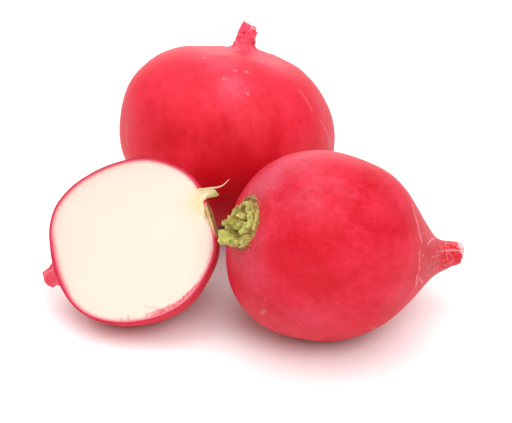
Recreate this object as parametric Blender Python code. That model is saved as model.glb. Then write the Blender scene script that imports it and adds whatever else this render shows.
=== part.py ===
"""A bunch of three globe radishes on a flat surface: two whole ones and one cut lengthwise.

Each radish is modelled crown up round its own axis, in shares of its radius, and an empty turns
it and sets it down. Metres, +Z up, the origin under the middle of the bunch, seen along +Y.
"""

import math
from typing import NamedTuple

import bmesh
import bpy
from mathutils import Matrix, Vector

# Thickness of the red skin, the gap between touching pieces, how deep each radish sits before
# its rest spot is cut flat, and how far in front of the axis the knife passed, all in metres
SKIN_THICKNESS = 0.0006
GAP = 0.0003
REST_DEPTH = 0.0002
CUT_OFFSET = 0.0021

# How wide a bulge in a root is, as an angle seen from the root's middle
BULGE_SPREAD = math.radians(26)

# Mesh resolution of the roots, of the crown pads and of the cut leaf stalks
ROOT_SIDES = 36
PAD_SIDES = 18
PAD_RINGS = 6
STALK_SIDES = 6
CUTTER_SIZE = 0.2

# Crown pad and leaf stalks, in shares of the root's radius
PAD_THICKNESS = 0.055
STALK_ROOT = 0.080
STALK_TAPER = 0.84
STALK_FLAT = 0.22


class Radish(NamedTuple):
    """One radish. Lengths are shares of its radius, and angles are degrees round its axis."""

    name: str
    radius: float  # half of the width across the middle, in metres
    outline: list  # (height, radius) from the crown down to the flat end of the cut taproot
    lobes: list  # unevenness round the axis: (lobes, share of the radius, phase)
    bulges: list  # where the root is fuller or slacker: (angle, latitude towards the crown, share)
    crown_bend: tuple  # how far the crown sits off the axis, (x, y)
    taproot_bend: tuple  # the height where the taproot starts to bend, and how far it goes, (x, y)
    pad: float  # radius of the crown pad
    stalks: list  # (angle, distance out, width, thickness, length, degrees of lean outwards)
    middle: tuple  # (x, y) of the root's middle on the surface, in metres
    turn: tuple  # heading of the crown from +X, its tilt from upright, and the roll, in degrees


FRONT = Radish(
    name="front",
    radius=0.0157,
    outline=[
        (0.895, 0.000), (0.920, 0.120), (0.935, 0.259), (0.875, 0.466), (0.701, 0.762),
        (0.398, 0.948), (0.040, 1.000), (-0.385, 0.959), (-0.725, 0.801), (-0.969, 0.606),
        (-1.182, 0.403), (-1.281, 0.310), (-1.410, 0.217), (-1.581, 0.157), (-1.675, 0.137),
        (-1.665, 0.000),
    ],
    lobes=[(2, 0.048, 48), (3, 0.018, -109)],
    bulges=[(0, 38, 0.015), (257, 57, 0.010), (166, -49, -0.012)],
    crown_bend=(-0.045, 0.036),
    taproot_bend=(-0.75, -0.298, -0.045),
    pad=0.270,
    stalks=[
        (345, 0.170, 0.24, 0.140, 0.23, 8), (20, 0.160, 0.20, 0.120, 0.16, 14),
        (70, 0.170, 0.15, 0.110, 0.10, 20), (115, 0.170, 0.20, 0.110, 0.10, 18),
        (160, 0.170, 0.20, 0.110, 0.09, 18), (205, 0.170, 0.20, 0.110, 0.08, 16),
        (255, 0.160, 0.20, 0.120, 0.10, 14), (300, 0.160, 0.20, 0.120, 0.13, 12),
        (330, 0.060, 0.15, 0.100, 0.17, 4), (90, 0.060, 0.15, 0.100, 0.15, 4),
        (210, 0.060, 0.15, 0.100, 0.13, 4),
    ],
    middle=(0.01060, -0.03840),
    turn=(197.9, 64.5, 0.0),
)

BACK = Radish(
    name="back",
    radius=0.0198,
    outline=[
        (0.815, 0.000), (0.845, 0.131), (0.860, 0.282), (0.799, 0.498), (0.625, 0.744),
        (0.338, 0.940), (0.000, 1.000), (-0.297, 0.958), (-0.541, 0.790), (-0.688, 0.577),
        (-0.751, 0.365), (-0.781, 0.214), (-0.812, 0.106), (-0.935, 0.089), (-1.025, 0.071),
        (-1.021, 0.000),
    ],
    lobes=[(2, 0.007, 94), (3, 0.025, -17)],
    bulges=[(69, 8, 0.057), (49, -71, 0.036), (275, -76, -0.021), (254, -42, 0.020)],
    crown_bend=(0.020, 0.000),
    taproot_bend=(-0.83, 0.008, 0.019),
    pad=0.240,
    stalks=[
        (10, 0.130, 0.18, 0.100, 0.050, 8), (80, 0.130, 0.16, 0.095, 0.045, 8),
        (150, 0.130, 0.18, 0.105, 0.055, 8), (220, 0.130, 0.16, 0.095, 0.045, 8),
        (290, 0.130, 0.17, 0.100, 0.050, 8),
    ],
    middle=(-0.00533, -0.00181),
    turn=(244.9, 153.4, 0.0),
)

HALF = Radish(
    name="half",
    radius=0.0140,
    outline=[
        (0.970, 0.000), (0.992, 0.105), (1.002, 0.233), (0.944, 0.477), (0.767, 0.710),
        (0.448, 0.930), (0.031, 1.000), (-0.389, 0.932), (-0.705, 0.761), (-0.890, 0.536),
        (-0.967, 0.330), (-1.002, 0.193), (-1.064, 0.131), (-1.146, 0.116), (-1.218, 0.104),
        (-1.213, 0.000),
    ],
    lobes=[(2, 0.005, 93), (3, 0.012, 141)],
    bulges=[
        (17, 42, -0.021), (14, 13, 0.015), (188, 49, 0.018), (198, -43, 0.028), (355, -75, 0.020),
    ],
    crown_bend=(-0.014, -0.014),
    taproot_bend=(-0.80, -0.001, 0.247),
    pad=0.250,
    stalks=[
        (205, 0.235, 0.19, 0.130, 0.16, -15), (55, 0.140, 0.18, 0.100, 0.04, 10),
        (110, 0.140, 0.18, 0.095, 0.05, 10), (350, 0.140, 0.18, 0.100, 0.04, 10),
        (160, 0.120, 0.16, 0.095, 0.05, 6),
    ],
    middle=(-0.02066, -0.03367),
    turn=(6.2, 70.7, -44.3),
)

# The flesh follows the root's outline down to its shoulder, and is closed there
FLESH_STEPS = 10
FLESH_END = [(-0.950, 0.300), (-0.975, 0.130), (-0.975, 0.000)]


def paint(name, colour, roughness):
    """A plain dielectric material of this colour."""
    material = bpy.data.materials.new(name)
    material.use_nodes = True
    shader = material.node_tree.nodes["Principled BSDF"]
    shader.inputs["Base Color"].default_value = (*colour, 1.0)
    shader.inputs["Roughness"].default_value = roughness
    shader.inputs["Metallic"].default_value = 0.0
    return material


def outline_point(outline, share):
    """(height, radius) at this share of the way down a smooth outline with a straight last step."""
    steps = len(outline) - 1
    at = min(share * steps, steps - 1e-9)
    first = int(at)
    part = at - first
    start, end = Vector(outline[first]), Vector(outline[first + 1])
    if first == steps - 1:
        return start.lerp(end, part)
    before = Vector(outline[first - 1]) if first else Vector((start.x, -end.y))
    after = Vector(outline[first + 2]) if first + 2 < steps else end + (end - start)
    slope_in, slope_out = (end - before) / 2, (after - start) / 2
    cube, square = part ** 3, part ** 2
    return (
        start * (2 * cube - 3 * square + 1)
        + slope_in * (cube - 2 * square + part)
        + end * (3 * square - 2 * cube)
        + slope_out * (cube - square)
    )


def off_axis(radish, height):
    """How far the crown and the taproot carry a ring at this height off the axis."""
    top = max(point[0] for point in radish.outline)
    foot = radish.outline[-1][0]
    bend_start, *taproot = radish.taproot_bend
    rise = max(0.0, height / top) ** 1.5
    fall = max(0.0, (bend_start - height) / (bend_start - foot)) ** 1.5
    return Vector(radish.crown_bend) * rise + Vector(taproot) * fall


def bulge(radish, point):
    """How much fuller the root is on the way from its middle out to this point."""
    fuller = 1.0
    for angle, latitude, amount in radish.bulges:
        angle, latitude = math.radians(angle), math.radians(latitude)
        flat = math.cos(latitude)
        way = Vector((flat * math.cos(angle), flat * math.sin(angle), math.sin(latitude)))
        fuller += amount * math.exp(-((point.angle(way) / BULGE_SPREAD) ** 2))
    return fuller


def root_mesh(name, radish, outline, inset):
    """A ball drawn out to the outline, uneven and bent like the root, and inset from it in metres."""
    mesh = bpy.data.meshes.new(name)
    shape = bmesh.new()
    rings = 2 * (len(outline) - 1)
    bmesh.ops.create_uvsphere(shape, u_segments=ROOT_SIDES, v_segments=rings, radius=1.0)
    for vert in shape.verts:
        share = math.acos(max(-1.0, min(1.0, vert.co.z))) / math.pi
        around = math.atan2(vert.co.y, vert.co.x)
        height, across = outline_point(outline, share)
        swell = sum(
            amount * math.cos(count * around + math.radians(phase))
            for count, amount, phase in radish.lobes
        )
        across *= 1 + swell * min(1.0, max(0.0, across))
        aside = off_axis(radish, height)
        x = across * math.cos(around) + aside.x
        y = across * math.sin(around) + aside.y
        point = Vector((x, y, height))
        vert.co = point * bulge(radish, point) * (radish.radius - inset)
    bmesh.ops.recalc_face_normals(shape, faces=shape.faces)
    shape.to_mesh(mesh)
    shape.free()
    return mesh


def box_mesh(name, low, high):
    """A box between two corners."""
    mesh = bpy.data.meshes.new(name)
    shape = bmesh.new()
    bmesh.ops.create_cube(shape, size=1.0)
    low, high = Vector(low), Vector(high)
    for vert in shape.verts:
        vert.co = Vector(
            (low[k] + high[k]) / 2 + vert.co[k] * (high[k] - low[k]) for k in range(3)
        )
    shape.to_mesh(mesh)
    shape.free()
    return mesh


def pad_mesh(name, radish, place):
    """The low round pad of the crown, which the leaf stalks grow from."""
    mesh = bpy.data.meshes.new(name)
    shape = bmesh.new()
    bmesh.ops.create_uvsphere(shape, u_segments=PAD_SIDES, v_segments=PAD_RINGS, radius=1.0)
    size = Matrix.Diagonal((radish.pad, radish.pad, PAD_THICKNESS, 1.0))
    bmesh.ops.transform(shape, matrix=place @ size, verts=shape.verts)
    shape.to_mesh(mesh)
    shape.free()
    return mesh


def stalk_mesh(name, place, angle, out, width, thickness, length, lean):
    """One cut leaf stalk: a tapered bar, flatter on its inner side, that leans outwards."""
    mesh = bpy.data.meshes.new(name)
    shape = bmesh.new()
    bmesh.ops.create_cone(
        shape,
        cap_ends=True,
        segments=STALK_SIDES,
        radius1=0.5,
        radius2=0.5 * STALK_TAPER,
        depth=1.0,
    )
    for vert in shape.verts:
        vert.co.x = max(vert.co.x, -STALK_FLAT)
        vert.co.z += 0.5
    turned = (
        Matrix.Rotation(math.radians(angle), 4, "Z")
        @ Matrix.Translation((out, 0.0, -STALK_ROOT))
        @ Matrix.Rotation(math.radians(lean), 4, "Y")
        @ Matrix.Diagonal((thickness, width, length + STALK_ROOT, 1.0))
    )
    bmesh.ops.transform(shape, matrix=place @ turned, verts=shape.verts)
    shape.to_mesh(mesh)
    shape.free()
    return mesh


def add(name, mesh, collection, parent=None):
    """A new object for this mesh, in the frame of its parent."""
    thing = bpy.data.objects.new(name, mesh)
    collection.objects.link(thing)
    thing.parent = parent
    return thing


def add_cutter(name, mesh, parent=None):
    """A helper that only cuts: it is drawn as wire and never rendered."""
    thing = add(name, mesh, bpy.data.collections["cutters"], parent)
    thing.hide_render = True
    thing.display_type = "WIRE"
    return thing


def cut(thing, cutter, solver="EXACT"):
    """Takes the cutter's volume away from the thing."""
    boolean = thing.modifiers.new("cut_by_" + cutter.name, "BOOLEAN")
    boolean.operation = "DIFFERENCE"
    boolean.solver = solver
    boolean.object = cutter


def apply_modifiers(thing):
    """Makes the thing's modifiers part of its mesh."""
    bpy.context.view_layer.update()
    graph = bpy.context.evaluated_depsgraph_get()
    mesh = bpy.data.meshes.new_from_object(thing.evaluated_get(graph))
    thing.modifiers.clear()
    thing.data = mesh


def finish(thing, material, sharp):
    """Applies the cuts, and shades the thing smooth but for edges sharper than this, in degrees."""
    apply_modifiers(thing)
    thing.data.shade_smooth()
    thing.data.set_sharp_from_angle(angle=math.radians(sharp))
    thing.data.materials.clear()
    thing.data.materials.append(material)


def lay_frame(radish, parts):
    """The empty that carries one radish, its crown turned to where it points."""
    heading, tilt, roll = (math.radians(angle) for angle in radish.turn)
    empty = bpy.data.objects.new(radish.name, None)
    parts.objects.link(empty)
    empty.matrix_world = (
        Matrix.Translation((*radish.middle, 0.0))
        @ Matrix.Rotation(heading, 4, "Z")
        @ Matrix.Rotation(tilt, 4, "Y")
        @ Matrix.Rotation(roll, 4, "Z")
    )
    return empty


def set_down(frame, mesh):
    """Moves a radish's frame up or down until its root just dips into the surface."""
    bpy.context.view_layer.update()
    lowest = min((frame.matrix_world @ vert.co).z for vert in mesh.vertices)
    frame.location.z -= lowest + REST_DEPTH
    bpy.context.view_layer.update()


def add_leaf_stalks(radish, frame, parts):
    """The cut leaf stalks of one crown, fused with the pad that they grow from."""
    name = radish.name + "_leaf_stalks"
    height = radish.outline[1][0]
    place = Matrix.Scale(radish.radius, 4) @ Matrix.Translation((*radish.crown_bend, height))
    tuft = add(name, pad_mesh(name, radish, place), parts, frame)
    pieces = bpy.data.collections.new(name + "_pieces")
    bpy.context.scene.collection.children.link(pieces)
    for number, stalk in enumerate(radish.stalks):
        label = f"{name}_{number}"
        add(label, stalk_mesh(label, place, *stalk), pieces, frame)
    union = tuft.modifiers.new("union", "BOOLEAN")
    union.operation = "UNION"
    union.solver = "MANIFOLD"
    union.operand_type = "COLLECTION"
    union.collection = pieces
    apply_modifiers(tuft)
    for piece in list(pieces.objects):
        bpy.data.objects.remove(piece)
    bpy.data.collections.remove(pieces)
    clear = root_mesh(radish.name + "_clear", radish, radish.outline, -GAP)
    cut(tuft, add_cutter(radish.name + "_clear", clear, frame), "MANIFOLD")
    return tuft


def add_whole_radish(radish, paints, floor, parts):
    """A whole radish: its root on a small flat spot, and the cut leaf stalks on its crown."""
    frame = lay_frame(radish, parts)
    name = radish.name + "_root"
    root = add(name, root_mesh(name, radish, radish.outline, 0.0), parts, frame)
    set_down(frame, root.data)
    cut(root, floor)
    finish(root, paints["skin"], 50)
    finish(add_leaf_stalks(radish, frame, parts), paints["stalk"], 35)


def add_halved_radish(radish, paints, floor, parts):
    """A radish cut lengthwise: its skin with the whole taproot, its flesh, and its leaf stalks."""
    frame = lay_frame(radish, parts)
    name = radish.name + "_skin"
    skin = add(name, root_mesh(name, radish, radish.outline, 0.0), parts, frame)
    set_down(frame, skin.data)
    low = (-CUTTER_SIZE, -CUTTER_SIZE, -CUTTER_SIZE)
    high = (CUTTER_SIZE, -CUT_OFFSET, CUTTER_SIZE)
    knife = add_cutter(radish.name + "_knife", box_mesh(radish.name + "_knife", low, high), frame)
    body = radish.outline[:FLESH_STEPS] + FLESH_END
    inside = root_mesh(radish.name + "_inside", radish, body, SKIN_THICKNESS)
    cut(skin, add_cutter(radish.name + "_inside", inside, frame))
    cut(skin, knife)
    cut(skin, floor)
    finish(skin, paints["skin"], 50)

    name = radish.name + "_flesh"
    flesh = add(name, root_mesh(name, radish, body, SKIN_THICKNESS + GAP), parts, frame)
    cut(flesh, knife)
    finish(flesh, paints["flesh"], 50)

    tuft = add_leaf_stalks(radish, frame, parts)
    cut(tuft, knife, "MANIFOLD")
    finish(tuft, paints["stalk"], 35)


def centre_bunch(parts):
    """Moves the radishes so that the middle of the base of the bunch's box is at the origin."""
    bpy.context.view_layer.update()
    points = [
        thing.matrix_world @ vert.co
        for thing in parts.objects
        if thing.type == "MESH"
        for vert in thing.data.vertices
    ]
    middle = [(min(p[k] for p in points) + max(p[k] for p in points)) / 2 for k in range(2)]
    for thing in parts.objects:
        if thing.type == "EMPTY":
            thing.location.x -= middle[0]
            thing.location.y -= middle[1]
    bpy.context.view_layer.update()


def main():
    for thing in list(bpy.data.objects):
        bpy.data.objects.remove(thing)
    parts = bpy.data.collections.new("bunch_of_radishes")
    cutters = bpy.data.collections.new("cutters")
    for collection in (parts, cutters):
        bpy.context.scene.collection.children.link(collection)
    paints = {
        "skin": paint("radish_skin", (0.72, 0.02, 0.04), 0.40),
        "flesh": paint("radish_flesh", (0.98, 0.88, 0.74), 0.45),
        "stalk": paint("cut_stalk", (0.42, 0.40, 0.10), 0.55),
    }
    below = (-CUTTER_SIZE, -CUTTER_SIZE, -CUTTER_SIZE)
    floor = add_cutter("floor", box_mesh("floor", below, (CUTTER_SIZE, CUTTER_SIZE, 0.0)))
    add_whole_radish(FRONT, paints, floor, parts)
    add_whole_radish(BACK, paints, floor, parts)
    add_halved_radish(HALF, paints, floor, parts)
    centre_bunch(parts)


main()
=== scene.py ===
"""The looks of a bunch of three globe radishes on a white table: two whole ones and one cut lengthwise.

Each root is drawn again on a fine net from the outline that its solid has, and gets what the
solid leaves out: the ragged cut ends, scars and wrinkles, root hairs, the fibrous cut leaf stalks
and the cut face. A root's own frame has its crown up, and its heights and radii are shares of its
radius. Everything else is in metres, +Z up.
"""

import itertools
import math
from typing import NamedTuple

import bmesh
import bpy
import numpy as np
from mathutils import Matrix, Vector
from mathutils.bvhtree import BVHTree


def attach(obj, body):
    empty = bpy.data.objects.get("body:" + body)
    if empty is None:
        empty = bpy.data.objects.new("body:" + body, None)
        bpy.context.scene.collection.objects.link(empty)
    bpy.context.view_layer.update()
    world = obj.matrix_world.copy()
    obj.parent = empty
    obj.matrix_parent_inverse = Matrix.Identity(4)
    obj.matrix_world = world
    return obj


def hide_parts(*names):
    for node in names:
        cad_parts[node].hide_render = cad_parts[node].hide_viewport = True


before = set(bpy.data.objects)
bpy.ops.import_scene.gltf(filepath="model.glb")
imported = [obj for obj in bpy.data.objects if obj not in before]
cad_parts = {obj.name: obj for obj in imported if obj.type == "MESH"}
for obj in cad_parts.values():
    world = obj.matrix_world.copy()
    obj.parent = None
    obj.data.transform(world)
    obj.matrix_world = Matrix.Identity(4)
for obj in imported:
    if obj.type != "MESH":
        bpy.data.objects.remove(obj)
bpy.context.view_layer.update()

MM = 0.001

# Skin of the cut radish, how far in front of its axis the knife passed, and how deep it lies
SKIN_THICKNESS = 0.50 * MM
CUT_OFFSET = 2.1 * MM
BULGE_SPREAD = math.radians(26)

# The net of a root: points round it, and rings for each step of its outline down to the shoulder
# and from there to the cut end of the taproot
ROOT_SIDES = 368
BODY_RINGS = 18
TAPROOT_RINGS = 16

# Camera: the point on the table that it looks at, its distance and its height in degrees
LOOK_AT = (0.00044, 0.01795, 0.0)
CAMERA_DISTANCE = 0.2776
CAMERA_HEIGHT = 31.0
CAMERA_LENS = 100.0


class Radish(NamedTuple):
    """One radish. Lengths are shares of its radius, and angles are degrees round its axis."""

    name: str
    radius: float  # half of the width across the middle, in metres
    outline: list  # (height, radius) from the crown down to the flat end of the cut taproot
    body_steps: int  # steps of the outline that belong to the body
    lobes: list  # unevenness round the axis: (lobes, share of the radius, phase)
    bulges: list  # where the root is fuller or slacker: (angle, latitude towards the crown, share)
    crown_bend: tuple  # how far the crown sits off the axis, (x, y)
    taproot_bend: tuple  # the height where the taproot starts to bend, and how far it goes, (x, y)
    place: tuple  # the root's middle, in metres
    turn: tuple  # heading of the crown from +X, its tilt from upright, and the roll, in degrees
    seed: int


FRONT = Radish(
    name="front",
    radius=0.0157,
    outline=[
        (0.895, 0.000), (0.920, 0.120), (0.935, 0.259), (0.875, 0.466), (0.701, 0.762),
        (0.398, 0.948), (0.040, 1.000), (-0.385, 0.959), (-0.725, 0.801), (-0.969, 0.606),
        (-1.182, 0.403), (-1.281, 0.310), (-1.410, 0.217), (-1.581, 0.157), (-1.675, 0.137),
        (-1.665, 0.000),
    ],
    body_steps=9,
    lobes=[(2, 0.048, 48), (3, 0.018, -109)],
    bulges=[(0, 38, 0.015), (257, 57, 0.010), (166, -49, -0.012)],
    crown_bend=(-0.045, 0.036),
    taproot_bend=(-0.75, -0.298, -0.045),
    place=(0.011042, -0.020454, 0.016529),
    turn=(197.9, 64.5, 0.0),
    seed=1,
)

BACK = Radish(
    name="back",
    radius=0.0198,
    outline=[
        (0.815, 0.000), (0.845, 0.131), (0.860, 0.282), (0.799, 0.498), (0.625, 0.744),
        (0.338, 0.940), (0.000, 1.000), (-0.297, 0.958), (-0.541, 0.790), (-0.688, 0.577),
        (-0.751, 0.365), (-0.781, 0.214), (-0.812, 0.106), (-0.935, 0.089), (-1.025, 0.071),
        (-1.021, 0.000),
    ],
    body_steps=10,
    lobes=[(2, 0.007, 94), (3, 0.025, -17)],
    bulges=[(69, 8, 0.057), (49, -71, 0.036), (275, -76, -0.021), (254, -42, 0.020)],
    crown_bend=(0.020, 0.000),
    taproot_bend=(-0.83, 0.008, 0.019),
    place=(-0.004888, 0.016136, 0.018572),
    turn=(244.9, 153.4, 0.0),
    seed=2,
)

HALF = Radish(
    name="half",
    radius=0.0140,
    outline=[
        (0.970, 0.000), (0.992, 0.105), (1.002, 0.233), (0.944, 0.477), (0.767, 0.710),
        (0.448, 0.930), (0.031, 1.000), (-0.389, 0.932), (-0.705, 0.761), (-0.890, 0.536),
        (-0.967, 0.330), (-1.002, 0.193), (-1.064, 0.131), (-1.146, 0.116), (-1.218, 0.104),
        (-1.213, 0.000),
    ],
    body_steps=10,
    lobes=[(2, 0.005, 93), (3, 0.012, 141)],
    bulges=[
        (17, 42, -0.021), (14, 13, 0.015), (188, 49, 0.018), (198, -43, 0.028), (355, -75, 0.020),
    ],
    crown_bend=(-0.014, -0.014),
    taproot_bend=(-0.80, -0.001, 0.247),
    place=(-0.020218, -0.015724, 0.013854),
    turn=(6.2, 70.7, -44.3),
    seed=3,
)

# The flesh follows the root's outline down to its shoulder, and is closed there
FLESH_STEPS = 10
FLESH_END = [(-0.950, 0.300), (-0.975, 0.130), (-0.975, 0.000)]

# Pale scratches on the skin: points (height, angle), width in millimetres, strength
FRONT_SCRATCHES = [
    ([(-0.549, 157), (-0.560, 151), (-0.602, 146), (-0.661, 140), (-0.727, 135)], 0.28, 0.70),
    ([(-0.711, 127), (-0.741, 121), (-0.785, 114)], 0.28, 0.60),
    ([(-0.785, 110), (-0.850, 100)], 0.28, 0.70),
    ([(-0.869, 107), (-1.020, 97)], 0.18, 0.85),
    ([(-0.910, 138), (-1.076, 150), (-1.150, 154)], 0.17, 1.0),
    ([(-1.190, 135), (-1.370, 143)], 0.17, 1.0),
    ([(-1.425, 143), (-1.507, 144), (-1.558, 143), (-1.631, 134), (-1.690, 130)], 0.17, 1.0),
    (
        [(-1.500, 190), (-1.488, 178), (-1.435, 163), (-1.412, 146), (-1.428, 133), (-1.454, 112)],
        0.11, 0.75,
    ),
    ([(-1.037, 126), (-1.150, 128), (-1.287, 131)], 0.15, 0.6),
    ([(-1.475, 180), (-1.506, 175), (-1.547, 166), (-1.608, 164), (-1.639, 148)], 0.12, 0.65),
    ([(-1.590, 190), (-1.600, 175), (-1.660, 160)], 0.10, 0.6),
    ([(-1.330, 190), (-1.360, 172), (-1.320, 160)], 0.10, 0.45),
    ([(-0.548, 61), (-0.640, 56), (-0.718, 51)], 0.30, 0.45),
    ([(0.590, 41), (0.570, 35)], 0.30, 0.45),
    ([(-0.30, 250), (-0.42, 262), (-0.46, 280)], 0.30, 0.35),
    ([(-0.95, 230), (-1.20, 236)], 0.14, 0.6),
    ([(-1.10, 310), (-1.42, 318)], 0.14, 0.6),
    ([(0.20, 318), (0.02, 326)], 0.30, 0.3),
]
FRONT_SPECKS = [
    (-0.852, 147, 0.34), (-0.803, 126, 0.30), (-1.127, 144, 0.24), (-1.548, 179, 0.20),
    (-1.588, 154, 0.20), (-1.002, 115, 0.26), (-1.024, 107, 0.24), (-0.930, 122, 0.20),
    (-0.760, 143, 0.20), (-1.210, 118, 0.20),
]
BACK_SCRATCHES = [
    ([(-0.528, 113), (-0.470, 111), (-0.370, 109)], 0.36, 0.28),
    ([(-0.300, 102), (-0.211, 95), (-0.077, 86)], 0.36, 0.30),
    ([(0.093, -135), (0.180, -136), (0.272, -137)], 0.36, 0.28),
    ([(-0.560, 20), (-0.480, 12), (-0.350, 8)], 0.36, 0.28),
    ([(0.300, 30), (0.120, 24)], 0.36, 0.28),
    ([(-0.600, 290), (-0.450, 297)], 0.36, 0.28),
]
BACK_SPECKS = [
    (-0.647, -172, 0.34), (-0.591, 159, 0.34), (-0.597, 152, 0.42), (-0.506, 165, 0.30),
    (-0.420, 150, 0.30), (-0.690, 130, 0.30), (-0.700, 110, 0.34), (-0.640, 95, 0.30),
    (-0.735, 160, 0.26), (-0.705, -170, 0.28),
]
HALF_SCRATCHES = [
    ([(0.30, 60), (0.12, 66), (-0.02, 78)], 0.28, 0.35),
    ([(-0.55, 120), (-0.72, 128)], 0.18, 0.5),
    ([(-1.02, 260), (-1.10, 250), (-1.18, 246)], 0.16, 0.8),
]
HALF_SPECKS = [(-1.08, 250, 0.20), (-1.00, 285, 0.20), (0.60, 30, 0.25)]


# Where the skin looks dusty pink: (height, angle, reach in millimetres, strength). On the back radish
# these patches are partly a painted highlight, a pale pink sheen on its upper side.
FRONT_BLOOM = [
    (0.83, -167, 4.5, 0.75), (0.90, -145, 3.5, 0.70), (0.67, 176, 4.0, 0.45), (0.87, 44, 5.0, 0.35),
    (0.92, 89, 2.5, 0.30), (0.20, 60, 5.0, 0.30), (-0.30, 150, 3.5, 0.15), (-0.65, 97, 4.0, 0.20),
    (0.74, 143, 2.5, 0.30), (0.10, 250, 6.0, 0.35), (0.80, 320, 5.0, 0.4),
]
BACK_BLOOM_AND_HIGHLIGHT = [
    (-0.71, -173, 3.2, 0.55), (-0.73, 119, 3.6, 0.60), (-0.47, 159, 2.8, 0.85), (-0.63, 168, 2.6, 0.45),
    (-0.12, 84, 3.0, 0.50), (-0.45, 95, 3.0, 0.35), (0.05, -138, 3.2, 0.30), (-0.66, 112, 2.0, 0.30),
    (0.20, 10, 6.0, 0.35), (-0.30, 330, 5.0, 0.35),
]
HALF_BLOOM = [(0.30, 60, 4.0, 0.3), (-0.40, 110, 5.0, 0.3)]

# Where the skin is a deeper, cleaner red. On the back radish these patches are painted shade, low down
# where it lies between the other roots.
FRONT_DEEP = [
    (0.64, 102, 4.0, 0.7), (0.30, 95, 3.5, 0.5), (0.30, 300, 6.0, 0.6), (-1.20, 110, 4.0, 0.8),
    (-1.20, 200, 4.0, 0.8), (-1.50, 130, 3.0, 0.8), (-0.92, 125, 3.5, 0.8),
]
BACK_PAINTED_SHADE = [
    (0.22, 147, 6.5, 1.0), (0.50, 150, 7.0, 1.0), (0.15, 110, 4.5, 0.6), (0.12, 190, 4.5, 0.7),
    (0.40, 300, 8.0, 0.6),
]
HALF_DEEP = [(0.00, 20, 5.0, 0.6)]


# Shape


def lattice(cell, seed):
    """A fixed random number from -1 to 1 for each cell of a grid, from its mixed-up bits."""
    mixed = cell[..., 0] * 73856093 ^ cell[..., 1] * 19349663 ^ cell[..., 2] * 83492791
    mixed = (mixed ^ seed * 40503) & 0x7FFFFFFF
    mixed = ((mixed ^ mixed >> 13) * 1274126177) & 0x7FFFFFFF
    mixed = ((mixed ^ mixed >> 15) * 1103515245) & 0x7FFFFFFF
    return (mixed >> 4) / 0x3FFFFFF - 1.0


def noise(points, size, seed):
    """Smooth unevenness from -1 to 1, with lumps about this size, at each point."""
    at = points / size + 31.7
    cell = np.floor(at).astype(np.int64)
    part = at - cell
    part = part * part * (3 - 2 * part)
    total = np.zeros(points.shape[:-1])
    for corner in itertools.product((0, 1), repeat=3):
        weight = np.prod(np.where(corner, part, 1 - part), axis=-1)
        total += weight * lattice(cell + np.array(corner), seed)
    return total


def rough(points, size, seed, octaves=4):
    """Unevenness with finer and finer lumps in it, from about -1 to 1."""
    return sum(noise(points, size / 2 ** k, seed + k) / 2 ** k for k in range(octaves)) / 1.4


def smooth(low, high, value):
    """0 below low, 1 above high and a soft step between them."""
    part = np.clip((value - low) / (high - low), 0, 1)
    return part * part * (3 - 2 * part)


def all_round(count):
    """This many angles, evenly spaced all the way round."""
    return np.linspace(0, 2 * math.pi, count, endpoint=False)


def ways_at(angles):
    """Directions in the plane at these angles."""
    return np.stack([np.cos(angles), np.sin(angles)], axis=-1)


def along_outline(outline, shares):
    """Heights and radii at these shares of the way down a smooth outline with a straight last step."""
    points = np.array(outline, float)
    steps = len(points) - 1
    at = np.minimum(shares * steps, steps - 1e-9)
    first = at.astype(int)
    part = (at - first)[:, None]
    start, end = points[first], points[first + 1]
    mirrored = np.array([points[0][0], -points[1][1]])
    before = np.where(first[:, None] > 0, points[first - 1], mirrored)
    after = points[np.minimum(first + 2, steps)]
    after = np.where(first[:, None] + 2 < steps, after, 2 * end - start)
    cube, square = part ** 3, part ** 2
    curve = (
        start * (2 * cube - 3 * square + 1)
        + (end - before) / 2 * (cube - 2 * square + part)
        + end * (3 * square - 2 * cube)
        + (after - start) / 2 * (cube - square)
    )
    straight = start + (end - start) * part
    curve = np.where(first[:, None] == steps - 1, straight, curve)
    return curve[:, 0], curve[:, 1]


def off_axis(radish, height):
    """How far the crown and the taproot carry each height off the axis."""
    top = max(point[0] for point in radish.outline)
    foot = radish.outline[-1][0]
    bend_start, *taproot = radish.taproot_bend
    rise = np.maximum(0.0, height / top) ** 1.5
    fall = np.maximum(0.0, (bend_start - height) / (bend_start - foot)) ** 1.5
    return rise[..., None] * np.array(radish.crown_bend) + fall[..., None] * np.array(taproot)


def bulge(radish, points):
    """How much fuller the root is on the way from its middle out to each point."""
    ways = points / np.linalg.norm(points, axis=-1, keepdims=True)
    fuller = np.ones(points.shape[:-1])
    for angle, latitude, amount in radish.bulges:
        angle, latitude = math.radians(angle), math.radians(latitude)
        flat = math.cos(latitude)
        way = np.array([flat * math.cos(angle), flat * math.sin(angle), math.sin(latitude)])
        apart = np.arccos(np.clip(ways @ way, -1, 1))
        fuller += amount * np.exp(-((apart / BULGE_SPREAD) ** 2))
    return fuller


def shares_of(steps, body_steps):
    """Shares of the way down the outline, closer together on the taproot."""
    counts = [BODY_RINGS] * body_steps + [TAPROOT_RINGS] * (steps - body_steps)
    edges = [k + part / count for k, count in enumerate(counts) for part in range(count)]
    return np.clip(np.array(edges) / steps, 0.0015, 1)


def root_net(radish, outline, inset, body_steps):
    """Rings of points on the root, in its own frame in metres, with each ring's height and step."""
    shares = shares_of(len(outline) - 1, body_steps)
    around = all_round(ROOT_SIDES)
    height, across = along_outline(outline, shares)
    swell = sum(
        amount * np.cos(count * around + math.radians(phase))
        for count, amount, phase in radish.lobes
    )
    across = across[:, None] * (1 + swell * np.clip(across, 0, 1)[:, None])
    flat = across[..., None] * ways_at(around) + off_axis(radish, height)[:, None, :]
    points = np.dstack([flat, np.broadcast_to(height[:, None], across.shape)])
    points = points * bulge(radish, points)[..., None] * (radish.radius - inset)
    return points, height, shares * (len(outline) - 1)


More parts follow.
